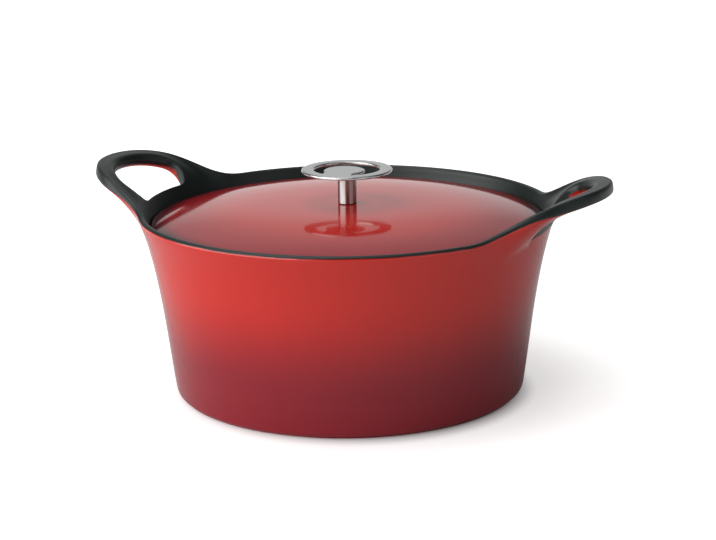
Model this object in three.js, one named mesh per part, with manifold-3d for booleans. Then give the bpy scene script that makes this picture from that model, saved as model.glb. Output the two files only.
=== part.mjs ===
// A cast-iron dutch oven: a pot whose rim sweeps out into two loop handles, a domed lid that drops inside
// the rim, and a steel ring knob on a pillar, screwed on from under the lid.
// Millimetres, +Z up. The origin is the middle of the base, and the handles lie along X.

import * as THREE from "three";
import { mergeVertices } from "three/addons/utils/BufferGeometryUtils.js";
import Module from "manifold-3d";

const wasm = await Module();
wasm.setup();

const { degToRad, lerp, smoothstep } = THREE.MathUtils;

// Pot
const rimRadius = 130;
const potHeight = 115;
const baseRadius = 109.2;
const baseLean = degToRad(8.7); // how far the wall leans out at the base
const rimLean = degToRad(19.1); // and at the rim
const baseFillet = 5;
const wall = 4.5;
const floorThickness = 5.5;
const floorFillet = 14;
const collarDepth = 12.7; // from the rim down to the ledge that carries the lid
const ledgeWidth = 4.6;

// Loop handles
const flareDepth = 19.5; // from the rim down to where the outside starts to flare out into a handle
const handleReach = 36.5; // past the rim
const handleRise = 23.3; // above the rim
const handleRound = 55.4; // radius of the loop's outline, seen from above
const handleFillet = 42; // radius where that outline leaves the rim
const handleGrowth = 30.7; // distance past the rim over which the wall grows into the handle
const handleThickness = 7.1;
const handleEdge = 2.1; // rounding of the handle's edge; the rim's edge is a half round
const strapWidth = 11.1;
const holeInset = 0.4; // from the middle of the wall to the finger hole
const holeCorner = 8.4;
const cornerShare = 0.45; // a corner takes no more than this of the hole's width
const holeEdge = 1.6; // rounding of the finger hole's edges
const riseLead = degToRad(3.8); // the rise sets in this far round the rim before the fillet
const riseEase = 15.5; // length over which the rise sets in
const riseBend = 0.72; // how much sooner the rise comes than on a straight ramp
const upperPull = 0.54; // how stiffly the sheet's upper face leaves the collar
const underPull = 0.36; // and its under face leaves the outside of the wall
const edgePull = 0.23; // how stiffly both enter the handle's edge

// Lid
const seatGap = 0.3; // between faces that rest on each other
const lidClearance = 0.8; // beside the lid's edge and its skirt
const lidEdge = 5.2;
const lidEdgeRound = 1.4;
const lidThickness = 4.6;
const domeRise = 9;
const domePower = 3.8; // the dome is nearly flat in the middle and falls off towards its edge
const skirtDepth = 5;
const skirtThickness = 3.6;

// Knob
const knobHeight = 22; // lid to the top of the ring
const ringRadius = 28.2;
const ringHoleRadius = 20.5;
const ringThickness = 1.9;
const ringEdge = 0.5;
const discRadius = 12.7;
const discOffset = 4.6; // the disc sits off centre, towards its web
const webWidth = 18;
const stemRadius = 5.85;
const stemEdge = 0.4;
const spigotRadius = 3;
const spigotLength = 1.1;

// Knob fixing
const screwRadius = 3;
const screwClearance = 0.35;
const screwGrip = 11; // how far the screw reaches into the pillar
const screwHeadRadius = 5.6;
const screwHeadHeight = 3.4;
const screwHeadFlat = 4.2; // radius of the flat on the head, inside its bevel
const screwBevel = 1; // height of the bevels on the head and the tip
const slotWidth = 1.3;
const slotDepth = 1.4;
const gasketThickness = 0.5;
const washerRadius = 6.6;
const washerThickness = 1.2;
const lockWasherRadius = 5.4;
const lockWasherThickness = 1.5;
const lockWasherSplit = 1.2;

// Facets
const handleSteps = 13; // columns of a quarter turn on the handle
const handleMargin = degToRad(4); // and on past the start of its rise
const rimSteps = 6;
const baseSteps = 3;
const wallSteps = 7;
const sheetSteps = 6;
const capSteps = 6;
const insideSteps = 6;
const floorSteps = 4;
const holePoints = 40;
const holeEdgeSteps = 2;
const domeSteps = 8;
const lidEdgeSteps = 4;
const lidSegments = 64;
const smallSegments = 32;
const overcut = 1; // how far a cutter starts outside the face that it enters
const probe = 0.5; // half the length over which a slope is measured

// Helpers

const point = (r, z) => new THREE.Vector2(r, z);

function arc(centre, radius, start, end, steps) {
  const points = [];
  for (let i = 0; i <= steps; i += 1) {
    const angle = lerp(start, end, i / steps);
    points.push(point(centre.x + radius * Math.cos(angle), centre.y + radius * Math.sin(angle)));
  }
  return points;
}

function turned(profile, segments) {
  return new THREE.LatheGeometry(profile, segments).rotateX(Math.PI / 2);
}

function disc(radius, bottom, top) {
  return turned([point(0, bottom), point(radius, bottom), point(radius, top), point(0, top)], smallSegments);
}

function washer(inner, outer, bottom, top) {
  const profile = [point(inner, bottom), point(outer, bottom), point(outer, top), point(inner, top)];
  return turned([...profile, profile[0]], smallSegments);
}

function toSolid(geometry) {
  const bare = geometry.clone();
  bare.deleteAttribute("normal");
  bare.deleteAttribute("uv");
  const merged = mergeVertices(bare, 1e-4);
  const vertProperties = new Float32Array(merged.attributes.position.array);
  const triVerts = new Uint32Array(merged.index.array);
  return new wasm.Manifold(new wasm.Mesh({ numProp: 3, vertProperties, triVerts }));
}

function toGeometry(solid) {
  const mesh = solid.getMesh();
  const geometry = new THREE.BufferGeometry();
  geometry.setAttribute("position", new THREE.BufferAttribute(new Float32Array(mesh.vertProperties), 3));
  geometry.setIndex(new THREE.BufferAttribute(new Uint32Array(mesh.triVerts), 1));
  geometry.computeVertexNormals();
  return geometry;
}

function cut(geometry, ...tools) {
  return toGeometry(tools.reduce((solid, tool) => solid.subtract(toSolid(tool)), toSolid(geometry)));
}

// Skins a list of closed rings of points, each ring with as many points, into one closed body.
// With caps, the first and last ring shrink to one point each.
function loft(rings, firstCap, lastCap) {
  const count = rings[0].length;
  const positions = [...rings.flat(), firstCap, lastCap].flatMap((p) => [p.x, p.y, p.z]);
  const first = rings.length * count;
  const last = first + 1;
  const index = [];
  for (let i = 0; i < count; i += 1) {
    const next = (i + 1) % count;
    index.push(first, next, i);
    for (let j = 0; j + 1 < rings.length; j += 1) {
      const low = j * count;
      const high = low + count;
      index.push(low + i, low + next, high + next);
      index.push(low + i, high + next, high + i);
    }
    const top = (rings.length - 1) * count;
    index.push(last, top + i, top + next);
  }
  const geometry = new THREE.BufferGeometry();
  geometry.setAttribute("position", new THREE.Float32BufferAttribute(positions, 3));
  geometry.setIndex(index);
  geometry.computeVertexNormals();
  return geometry;
}

// Pot wall

const ledgeZ = potHeight - collarDepth;

// Outside of the wall: one cubic from the base to the rim, set by its lean at both ends.
function wallRadius(z) {
  const s = z / potHeight;
  const s2 = s * s;
  const s3 = s2 * s;
  const baseSlope = Math.tan(baseLean) * potHeight;
  const rimSlope = Math.tan(rimLean) * potHeight;
  const ends = (2 * s3 - 3 * s2 + 1) * baseRadius + (3 * s2 - 2 * s3) * rimRadius;
  return ends + (s3 - 2 * s2 + s) * baseSlope + (s3 - s2) * rimSlope;
}

function wallLean(z) {
  return Math.atan((wallRadius(z + probe) - wallRadius(z - probe)) / (2 * probe));
}

// Inside, the collar starts at the ledge and runs up into the rim, or out into a handle.
const collarLean = wallLean(ledgeZ);
const collarAlong = point(Math.sin(collarLean), Math.cos(collarLean));
const collarInner = point(wallRadius(ledgeZ) - wall * collarAlong.y, ledgeZ + wall * collarAlong.x);
const ledgeRadius = collarInner.x - (collarInner.y - ledgeZ) * Math.tan(collarLean);
const mouthRadius = ledgeRadius - ledgeWidth;

// Outside, the flare into a handle sets in lower down.
const flareZ = potHeight - flareDepth;
const flareLean = wallLean(flareZ);
const flareAlong = point(Math.sin(flareLean), Math.cos(flareLean));
const flareStart = point(wallRadius(flareZ), flareZ);

function innerRadius(z) {
  return Math.min(wallRadius(z) - wall / Math.cos(wallLean(z)), mouthRadius);
}

// Loop handles, seen from above: a round tip that meets the rim through a fillet on each side.

const tipX = rimRadius + handleReach;
const tipCentre = tipX - handleRound;
const filletReach = rimRadius + handleFillet;
const filletAngle = Math.acos(
  (tipCentre ** 2 + filletReach ** 2 - (handleRound + handleFillet) ** 2) / (2 * tipCentre * filletReach),
);
const filletCentre = point(filletReach * Math.cos(filletAngle), filletReach * Math.sin(filletAngle));
const tipShare = handleRound / (handleRound + handleFillet);
const tangentX = lerp(tipCentre, filletCentre.x, tipShare);
const tangentAngle = Math.atan2(filletCentre.y * tipShare, tangentX);

function outlineRadius(angle) {
  if (angle < tangentAngle) {
    const side = tipCentre * Math.sin(angle);
    return tipCentre * Math.cos(angle) + Math.sqrt(handleRound ** 2 - side ** 2);
  }
  if (angle < filletAngle) {
    const turn = angle - filletAngle;
    const side = filletReach * Math.sin(turn);
    return filletReach * Math.cos(turn) - Math.sqrt(handleFillet ** 2 - side ** 2);
  }
  return rimRadius;
}

// The rise sets in just before the fillet, is steepest there and eases off towards the tip.
const riseAngle = filletAngle + riseLead;
const riseStart = rimRadius * Math.cos(riseAngle);

function riseAt(x) {
  const run = Math.max(x - riseStart, 0);
  const eased = run ** 2 / (run + riseEase);
  const tipRun = tipX - riseStart;
  const share = eased / (tipRun ** 2 / (tipRun + riseEase));
  return handleRise * share * (1 + riseBend - riseBend * share);
}

// The edge that ends the wall at one angle from a handle: its thickness and pitch, and its two rounded corners.
// On the rim the corners have one centre and make a half round, and on a handle they stand apart.
function edgeAt(angle) {
  const radius = outlineRadius(angle);
  const x = radius * Math.cos(angle);
  const grown = smoothstep(radius - rimRadius, 0, handleGrowth);
  const thickness = lerp(wall, handleThickness, grown);
  const cornerRound = lerp(wall / 2, handleEdge, grown);
  const apart = thickness / 2 - cornerRound;
  const slope = (riseAt(x + probe) - riseAt(x - probe)) / (2 * probe);
  const pitch = lerp(Math.PI / 2 - rimLean, Math.atan(slope * Math.cos(angle)), grown);
  const along = point(Math.cos(pitch), Math.sin(pitch));
  const across = point(along.y, -along.x);
  const top = potHeight + riseAt(x);
  const centre = point(radius - cornerRound - apart * along.y, top - cornerRound - apart * along.x);
  return { thickness, cornerRound, apart, pitch, along, across, centre };
}

// The two faces of the sheet that leads from the wall to that edge.
function sheetAt(angle) {
  const { thickness, along, across, centre } = edgeAt(angle);
  const face = (start, direction, pull, side) => {
    const end = centre.clone().addScaledVector(across, (side * thickness) / 2);
    const length = start.distanceTo(end);
    const first = start.clone().addScaledVector(direction, length * pull);
    const second = end.clone().addScaledVector(along, -length * edgePull);
    return new THREE.CubicBezierCurve(start, first, second, end);
  };
  const upper = face(collarInner, collarAlong, upperPull, -1);
  const under = face(flareStart, flareAlong, underPull, 1);
  return { upper, under };
}

// The edge's own section, from the under face round both corners to the upper face.
function edgeCap(angle) {
  const { cornerRound, apart, pitch, across, centre } = edgeAt(angle);
  const turns = arc(point(0, 0), cornerRound, pitch - Math.PI / 2, pitch + Math.PI / 2, capSteps);
  return turns.map((spoke, i) => {
    const side = Math.sign(capSteps / 2 - i);
    return spoke.add(centre).addScaledVector(across, side * apart);
  });
}

// Pot section at one angle from a handle: out along the base, up the outside, round the edge, down the
// inside over the ledge, and back along the floor. The axis ends are left out.
function potSection(angle) {
  const baseTop = baseFillet - baseFillet * Math.sin(baseLean);
  const baseCentre = point(wallRadius(baseTop) - baseFillet * Math.cos(baseLean), baseFillet);
  const outside = [];
  for (let i = 1; i < wallSteps; i += 1) {
    const z = lerp(baseTop, flareZ, i / wallSteps);
    outside.push(point(wallRadius(z), z));
  }
  const { upper, under } = sheetAt(angle);
  const floorCentreZ = floorThickness + floorFillet;
  const floorTop = floorCentreZ - floorFillet * Math.sin(baseLean);
  const floorCentre = point(innerRadius(floorTop) - floorFillet * Math.cos(baseLean), floorCentreZ);
  const inside = [];
  for (let i = 1; i < insideSteps; i += 1) {
    const z = lerp(ledgeZ, floorTop, i / insideSteps);
    inside.push(point(innerRadius(z), z));
  }
  return [
    ...arc(baseCentre, baseFillet, -Math.PI / 2, -baseLean, baseSteps),
    ...outside,
    ...under.getPoints(sheetSteps).slice(0, -1),
    ...edgeCap(angle),
    ...upper.getPoints(sheetSteps).slice(0, -1).reverse(),
    point(ledgeRadius, ledgeZ),
    point(mouthRadius, ledgeZ),
    ...inside,
    ...arc(floorCentre, floorFillet, -baseLean, -Math.PI / 2, floorSteps),
  ];
}

// Angles of one quarter turn, close together on the handle and wider apart along the rim.
function quarterAngles() {
  const handleEnd = riseAngle + handleMargin;
  const angles = [];
  for (let i = 0; i < handleSteps; i += 1) {
    angles.push((handleEnd * i) / handleSteps);
  }
  for (let i = 0; i < rimSteps; i += 1) {
    angles.push(lerp(handleEnd, Math.PI / 2, i / rimSteps));
  }
  return angles;
}

function potBody() {
  const quarter = quarterAngles();
  const mirrored = [Math.PI / 2, ...quarter.slice(1).reverse()];
  const columns = [
    ...quarter.map((a) => ({ from: a, turn: a })),
    ...mirrored.map((a) => ({ from: a, turn: Math.PI - a })),
    ...quarter.map((a) => ({ from: a, turn: Math.PI + a })),
    ...mirrored.map((a) => ({ from: a, turn: 2 * Math.PI - a })),
  ];
  const sections = columns.map(({ from, turn }) =>
    potSection(from).map((p) => new THREE.Vector3(p.x * Math.cos(turn), p.x * Math.sin(turn), p.y)),
  );
  const rings = sections[0].map((_, j) => sections.map((section) => section[j]));
  return loft(rings, new THREE.Vector3(0, 0, 0), new THREE.Vector3(0, 0, floorThickness));
}

// Finger hole, seen from above on the middle of the sheet: a round outer side, a side that follows the rim,
// and round corners between them.
function holeOutline() {
  const outer = handleRound - strapWidth;
  const inner = rimRadius - wall / 2 + holeInset;
  const corner = Math.min(holeCorner, cornerShare * (tipCentre + outer - inner));
  const outerReach = outer - corner;
  const innerReach = inner + corner;
  const cornerX = (innerReach ** 2 - outerReach ** 2 + tipCentre ** 2) / (2 * tipCentre);
  const cornerY = Math.sqrt(innerReach ** 2 - cornerX ** 2);
  const outerAngle = Math.atan2(cornerY, cornerX - tipCentre);
  const innerAngle = Math.atan2(cornerY, cornerX);
  const shape = new THREE.Shape();
  shape.absarc(tipCentre, 0, outer, -outerAngle, outerAngle);
  shape.absarc(cornerX, cornerY, corner, outerAngle, Math.PI + innerAngle);
  shape.absarc(0, 0, inner, innerAngle, -innerAngle, true);
  shape.absarc(cornerX, -cornerY, corner, Math.PI - innerAngle, 2 * Math.PI - outerAngle);
  return shape.getSpacedPoints(holePoints).slice(0, -1);
}

// A point of the sheet: through is 0 on its upper face and 1 on its under face.
function sheetPoint(x, y, through) {
  const angle = Math.atan2(y, x);
  const { upper, under } = sheetAt(Math.abs(angle));
  const radius = Math.hypot(x, y);
  const middle = (t) => (upper.getPoint(t).x + under.getPoint(t).x) / 2;
  const halvings = 24;
  let low = 0;
  let high = 1;
  for (let i = 0; i < halvings; i += 1) {
    const t = (low + high) / 2;
    if (middle(t) < radius) low = t;
    else high = t;
  }
  const t = (low + high) / 2;
  const p = upper.getPoint(t).lerp(under.getPoint(t), through);
  return new THREE.Vector3(p.x * Math.cos(angle), p.x * Math.sin(angle), p.y);
}

// The cutter is a spool: it runs square through the sheet and widens at both faces, to round the edges.
function fingerHole() {
  const outline = holeOutline();
  const outward = outline.map((_, i) => {
    const before = outline[(i + outline.length - 1) % outline.length];
    const after = outline[(i + 1) % outline.length];
    return point(after.y - before.y, before.x - after.x).normalize();
  });
  const half = [{ through: -1, widen: 2 * holeEdge }];
  for (let i = 0; i <= holeEdgeSteps; i += 1) {
    const turn = ((Math.PI / 2) * i) / holeEdgeSteps;
    const through = ((1 - Math.cos(turn)) * holeEdge) / handleThickness;
    half.push({ through, widen: (1 - Math.sin(turn)) * holeEdge });
  }
  const spool = [...half, ...half.toReversed().map(({ through, widen }) => ({ through: 1 - through, widen }))];
  const rings = spool.toReversed().map(({ through, widen }) =>
    outline.map((p, i) => sheetPoint(p.x + outward[i].x * widen, p.y + outward[i].y * widen, through)),
  );
  const middleX = outline.reduce((sum, p) => sum + p.x, 0) / outline.length;
  const capAt = ({ through }) => sheetPoint(middleX, 0, through);
  return loft(rings, capAt(spool[spool.length - 1]), capAt(spool[0]));
}

function pot() {
  const hole = fingerHole();
  return cut(potBody(), hole, hole.clone().rotateZ(Math.PI));
}

// Lid

const lidSeat = ledgeZ + seatGap;
const lidRadius = ledgeRadius - lidClearance;
const lidTop = lidSeat + lidEdge + domeRise;
const lidUnder = lidTop - lidThickness;
const boltHole = screwRadius + screwClearance;

function lid() {
  const skirtOuter = mouthRadius - lidClearance;
  const skirtInner = skirtOuter - skirtThickness;
  const edgeTop = lidRadius + lidEdge * Math.tan(collarLean);
  const dome = (r, top) => top - domeRise * (r / edgeTop) ** domePower;
  const roundCentre = point(edgeTop - lidEdgeRound, dome(edgeTop - lidEdgeRound, lidTop) - lidEdgeRound);
  const underside = [];
  const topside = [];
  for (let i = 0; i <= domeSteps; i += 1) {
    const underRadius = lerp(boltHole, skirtInner, i / domeSteps);
    underside.push(point(underRadius, dome(underRadius, lidUnder)));
    const topRadius = lerp(roundCentre.x, boltHole, (i + 1) / (domeSteps + 1));
    topside.push(point(topRadius, dome(topRadius, lidTop)));
  }
  const profile = [
    ...underside,
    point(skirtInner, lidSeat - skirtDepth),
    point(skirtOuter, lidSeat - skirtDepth),
    point(skirtOuter, lidSeat),
    point(lidRadius, lidSeat),
    ...arc(roundCentre, lidEdgeRound, 0, Math.PI / 2, lidEdgeSteps),
    ...topside,
  ];
  return turned([...profile, profile[0]], lidSegments);
}

// Knob, from the lid up

const gasketBottom = lidTop + seatGap;
const stemBottom = gasketBottom + gasketThickness + seatGap;
const ringTop = lidTop + knobHeight;
const ringBottom = ringTop - ringThickness;
const stemTop = ringBottom - seatGap;

// The ring's opening runs almost all the way round the disc and stops at the web on both sides.
function knobRing() {
  const ringWebAngle = Math.asin(webWidth / 2 / ringHoleRadius);
  const discWebAngle = Math.asin(webWidth / 2 / discRadius);
  const down = -Math.PI / 2;
  const opening = new THREE.Path();
  opening.absarc(0, 0, ringHoleRadius, down + ringWebAngle, down - ringWebAngle + 2 * Math.PI);
  const discStart = down - discWebAngle + 2 * Math.PI;
  opening.absarc(0, -discOffset, discRadius, discStart, down + discWebAngle, true);
  const plate = new THREE.Shape();
  plate.absarc(0, 0, ringRadius - ringEdge, 0, 2 * Math.PI);
  plate.holes.push(opening);
  const body = new THREE.ExtrudeGeometry(plate, {
    depth: ringThickness - 2 * ringEdge,
    bevelThickness: ringEdge,
    bevelSize: ringEdge,
    bevelSegments: 1,
    curveSegments: smallSegments / 2,
  }).translate(0, 0, ringBottom + ringEdge);
  const socket = disc(spigotRadius + seatGap, ringBottom - overcut, stemTop + spigotLength + seatGap);
  return cut(body, socket);
}

function knobStem() {
  const boreTop = stemBottom + screwGrip + seatGap;
  return turned(
    [
      point(0, boreTop),
      point(boltHole, boreTop),
      point(boltHole, stemBottom),
      point(stemRadius - stemEdge, stemBottom),
      point(stemRadius, stemBottom + stemEdge),
      point(stemRadius, stemTop - stemEdge),
      point(stemRadius - stemEdge, stemTop),
      point(spigotRadius, stemTop),
      point(spigotRadius, stemTop + spigotLength),
      point(0, stemTop + spigotLength),
    ],
    smallSegments,
  );
}

function stemGasket() {
  return washer(boltHole, stemRadius - stemEdge, gasketBottom, gasketBottom + gasketThickness);
}

// Knob fixing, from the lid down

const flatWasherTop = lidUnder - seatGap;
const lockWasherTop = flatWasherTop - washerThickness - seatGap;
const headTop = lockWasherTop - lockWasherThickness - seatGap;

function flatWasher() {
  return washer(boltHole, washerRadius, flatWasherTop - washerThickness, flatWasherTop);
}

function lockWasher() {
  const outerHalf = Math.asin(lockWasherSplit / 2 / lockWasherRadius);
  const innerHalf = Math.asin(lockWasherSplit / 2 / boltHole);
  const shape = new THREE.Shape();
  shape.absarc(0, 0, lockWasherRadius, outerHalf, 2 * Math.PI - outerHalf);
  shape.absarc(0, 0, boltHole, 2 * Math.PI - innerHalf, innerHalf, true);
  return new THREE.ExtrudeGeometry(shape, {
    depth: lockWasherThickness,
    bevelEnabled: false,
    curveSegments: smallSegments / 2,
  }).translate(0, 0, lockWasherTop - lockWasherThickness);
}

function knobScrew() {
  const tip = stemBottom + screwGrip;
  const headBottom = headTop - screwHeadHeight;
  const body = turned(
    [
      point(0, headBottom),
      point(screwHeadFlat, headBottom),
      point(screwHeadRadius, headBottom + screwBevel),
      point(screwHeadRadius, headTop),
      point(screwRadius, headTop),
      point(screwRadius, tip - screwBevel),
      point(screwRadius - screwBevel, tip),
      point(0, tip),
    ],
    smallSegments,
  );
  const slotLength = 2 * (screwHeadRadius + overcut);
  const slot = new THREE.BoxGeometry(slotLength, slotWidth, slotDepth + overcut);
  return cut(body, slot.translate(0, 0, headBottom + (slotDepth - overcut) / 2));
}

// Assembly

const part = new THREE.Group();

function add(name, geometry, color, roughness, metalness) {
  const mesh = new THREE.Mesh(geometry, new THREE.MeshStandardMaterial({ color, roughness, metalness }));
  mesh.name = name;
  part.add(mesh);
}

add("pot", pot(), 0xc5302c, 0.15, 0);
add("lid", lid(), 0xc5302c, 0.12, 0);
add("knob_ring", knobRing(), 0xb8bab9, 0.25, 1);
add("knob_stem", knobStem(), 0xc4c6c5, 0.15, 1);
add("stem_gasket", stemGasket(), 0x2a2a2c, 0.7, 0);
add("flat_washer", flatWasher(), 0xb0b2b1, 0.35, 1);
add("lock_washer", lockWasher(), 0x9fa1a0, 0.4, 1);
add("knob_screw", knobScrew(), 0xb0b2b1, 0.35, 1);

export default part;
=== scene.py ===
# %% [markdown]
# # A red cast-iron dutch oven
# The pot is one casting: its wall flares, and its rim sweeps out and up into two loop handles. Red enamel
# covers the outside and black enamel the inside, the rim and the tops of the handles. The lid drops
# inside the rim and carries a steel ring on a pillar. This lesson models each piece in place over the
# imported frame, in metres, and then gives it its finish.

# %% Load the frame
from functools import lru_cache
from math import acos, atan, atan2, cos, hypot, pi, radians, sin, sqrt, tan

import bmesh
import bpy
import numpy as np
from mathutils import Matrix, Vector


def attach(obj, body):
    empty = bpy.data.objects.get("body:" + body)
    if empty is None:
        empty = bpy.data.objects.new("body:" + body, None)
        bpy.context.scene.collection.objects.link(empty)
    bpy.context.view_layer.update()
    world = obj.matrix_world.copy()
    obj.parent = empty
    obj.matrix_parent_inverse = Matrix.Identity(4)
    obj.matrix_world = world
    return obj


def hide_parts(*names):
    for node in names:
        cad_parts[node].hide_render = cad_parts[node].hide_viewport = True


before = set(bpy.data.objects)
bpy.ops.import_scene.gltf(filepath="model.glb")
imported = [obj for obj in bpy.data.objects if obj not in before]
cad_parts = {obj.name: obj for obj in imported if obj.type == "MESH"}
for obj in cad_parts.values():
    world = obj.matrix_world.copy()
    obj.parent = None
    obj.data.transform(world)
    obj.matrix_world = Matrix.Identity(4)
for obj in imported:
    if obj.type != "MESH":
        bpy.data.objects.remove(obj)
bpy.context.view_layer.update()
print("nodes:", ", ".join(sorted(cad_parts)))

# %% [markdown]
# ## Camera
# The camera stands where the picture was taken from: a little above the rim, with the right handle turned
# towards it. A long lens from over a metre away keeps the two handles nearly the same size. It could be
# framed by eye, but its place, target and slight roll were worked out from the pot's own ellipses.

# %% Camera
CAMERA_PLACE = Vector((0.41455, -1.12213, 0.38520))
CAMERA_TARGET = Vector((0.00560, 0.00207, 0.07370))
CAMERA_ROLL = -0.01509
LENS_MM = 99.18
SENSOR_MM = 36

scene = bpy.context.scene
view = (CAMERA_TARGET - CAMERA_PLACE).normalized()
right = view.cross(Vector((0, 0, 1))).normalized()
upward = right.cross(view)
rolled_right = right * cos(CAMERA_ROLL) + upward * sin(CAMERA_ROLL)
rolled_up = upward * cos(CAMERA_ROLL) - right * sin(CAMERA_ROLL)
camera_data = bpy.data.cameras.new("camera")
camera_data.lens = LENS_MM
camera_data.sensor_width = SENSOR_MM
camera_data.sensor_fit = "HORIZONTAL"
camera = bpy.data.objects.new("camera", camera_data)
scene.collection.objects.link(camera)
turn = Matrix((rolled_right, rolled_up, -view)).transposed().to_4x4()
camera.matrix_world = Matrix.Translation(CAMERA_PLACE) @ turn
scene.camera = camera
print(f"camera {(CAMERA_TARGET - CAMERA_PLACE).length:.3f} m from the pot")

# %% [markdown]
# ## Turning a piece
# Most pieces here are round: a lathe would make them. A profile of radius and height points is turned the
# same way in edit mode: a circle is added at the first point, then extruded and scaled to each next
# point. Spin would do the same, but ring by ring the points stay in order and no seam has to be merged.

# %% Lathe
SAME_HEIGHT = 1e-6  # points closer than this in height belong to one ring


def edit(piece):
    """Opens one piece, and nothing else, in edit mode."""
    if bpy.context.mode != "OBJECT":
        bpy.ops.object.mode_set(mode="OBJECT")
    bpy.ops.object.select_all(action="DESELECT")
    bpy.context.view_layer.objects.active = piece
    piece.select_set(True)
    bpy.ops.object.mode_set(mode="EDIT")


def close_edit():
    """Turns all faces outwards and leaves edit mode."""
    bpy.ops.mesh.select_all(action="SELECT")
    bpy.ops.mesh.normals_make_consistent(inside=False)
    bpy.ops.object.mode_set(mode="OBJECT")


def open_circle(name, columns, radius, height):
    """A new piece, open in edit mode: one circle about Z."""
    bpy.ops.object.select_all(action="DESELECT")
    bpy.ops.mesh.primitive_circle_add(vertices=columns, radius=radius, location=(0, 0, height))
    piece = bpy.context.object
    piece.name = piece.data.name = name
    bpy.ops.object.transform_apply(location=True, rotation=False, scale=False)
    edit(piece)
    return piece


def select(piece, kind, wanted):
    """Selects the verts, edges or faces of the open piece that wanted names."""
    bpy.ops.mesh.select_all(action="DESELECT")
    shape = bmesh.from_edit_mesh(piece.data)
    for part in getattr(shape, kind):
        part.select_set(wanted(part))
    shape.select_flush_mode()
    bmesh.update_edit_mesh(piece.data)


def turned(name, profile, columns, ends="poles"):
    """Turns (radius, height) points about Z. Its two ends close on the axis, or are bridged into a ring."""
    piece = open_circle(name, columns, *profile[0])
    bpy.ops.mesh.select_mode(type="EDGE")
    bpy.ops.mesh.select_all(action="SELECT")
    for (r0, z0), (r1, z1) in zip(profile, profile[1:]):
        bpy.ops.mesh.extrude_edges_move(TRANSFORM_OT_translate={"value": (0, 0, z1 - z0)})
        bpy.ops.transform.resize(value=(r1 / r0, r1 / r0, 1), center_override=(0, 0, z1))
    if ends == "poles":
        for _, z in (profile[0], profile[-1]):
            select(piece, "edges", lambda e: e.is_boundary and abs(e.verts[0].co.z - z) < SAME_HEIGHT)
            bpy.ops.mesh.extrude_edges_move()
            bpy.ops.mesh.merge(type="CENTER")
    else:
        select(piece, "edges", lambda edge: edge.is_boundary)
        bpy.ops.mesh.bridge_edge_loops()
    close_edit()
    bpy.ops.object.shade_smooth()
    return piece


print("ready to model, in", bpy.context.mode, "mode")

# %% Profiles


def on_circle(centre, radius, angle):
    return centre[0] + radius * cos(angle), centre[1] + radius * sin(angle)


def arc(centre, radius, start, end, steps):
    """Points on an arc about centre, from one angle to another."""
    return [on_circle(centre, radius, start + (end - start) * i / steps) for i in range(steps + 1)]


def rounded(corners, steps=4):
    """Profile of (radius, height, fillet) corners, each rounded by its fillet."""
    profile = []
    for i, (r, z, fillet) in enumerate(corners):
        here = Vector((r, z))
        if not fillet:
            profile.append((r, z))
            continue
        back = (Vector(corners[i - 1][:2]) - here).normalized()
        onward = (Vector(corners[(i + 1) % len(corners)][:2]) - here).normalized()
        half = back.angle(onward) / 2
        centre = here + (back + onward).normalized() * (fillet / sin(half))
        spokes = [here + side * (fillet / tan(half)) - centre for side in (back, onward)]
        start, end = (atan2(spoke.y, spoke.x) for spoke in spokes)
        sweep = (end - start + pi) % (2 * pi) - pi
        profile += arc(centre, fillet, start, start + sweep, steps)
    return profile


def eased(low, high, steps):
    """Values from low to high, closer together at both ends, where the mesh is fine."""
    return [low + (high - low) * (1 - cos(pi * i / steps)) / 2 for i in range(steps + 1)]


print("a half turn in 4 steps:", [(round(x, 2), round(y, 2)) for x, y in arc((0, 0), 1, 0, pi, 4)])

# %% [markdown]
# ## Pot: its wall
# The wall leans out more and more towards the rim. It could be drawn as a list of points, but one cubic,
# set by the radius and the lean at the base and at the rim, gives a flare without a bump. Under the rim a
# ledge carries the lid, and from the ledge up the wall is a collar, which ends in a half-round edge.

# %% Pot sizes
RIM_RADIUS = 0.130
POT_HEIGHT = 0.115
BASE_RADIUS = 0.1092
BASE_LEAN = radians(8.7)
RIM_LEAN = radians(19.1)
BASE_FILLET = 0.005
WALL = 0.0045
FLOOR_THICKNESS = 0.0055
FLOOR_FILLET = 0.014
COLLAR_DEPTH = 0.0127
LEDGE_WIDTH = 0.0046
LEDGE_FILLET = 0.001
PROBE = 0.0005  # half the length over which a slope is measured

ledge_z = POT_HEIGHT - COLLAR_DEPTH


def mix(a, b, share):
    return a + (b - a) * share


def smooth(share):
    """A share from 0 to 1, eased at both ends."""
    return share * share * (3 - 2 * share)


def around(radius, angle, z):
    """The point at a radius, an angle and a height."""
    return Vector((radius * cos(angle), radius * sin(angle), z))


def wall_radius(z):
    """Radius of the outside at a height: a cubic between the radii and leans of its two ends."""
    s = z / POT_HEIGHT
    ends = BASE_RADIUS * (2 * s**3 - 3 * s**2 + 1) + RIM_RADIUS * (3 * s**2 - 2 * s**3)
    leans = tan(BASE_LEAN) * (s**3 - 2 * s**2 + s) + tan(RIM_LEAN) * (s**3 - s**2)
    return ends + leans * POT_HEIGHT


def wall_lean(z):
    return atan((wall_radius(z + PROBE) - wall_radius(z - PROBE)) / (2 * PROBE))


collar_lean = wall_lean(ledge_z)
collar_along = Vector((sin(collar_lean), cos(collar_lean)))
collar_outer = Vector((wall_radius(ledge_z), ledge_z))
collar_inner = collar_outer + Vector((-collar_along.y, collar_along.x)) * WALL
ledge_radius = collar_inner.x - (collar_inner.y - ledge_z) * tan(collar_lean)
mouth_radius = ledge_radius - LEDGE_WIDTH


def inner_radius(z):
    return min(wall_radius(z) - WALL / cos(wall_lean(z)), mouth_radius)


print(f"mouth {2000 * mouth_radius:.1f} mm across, under a rim of {2000 * RIM_RADIUS:.0f} mm")

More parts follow.
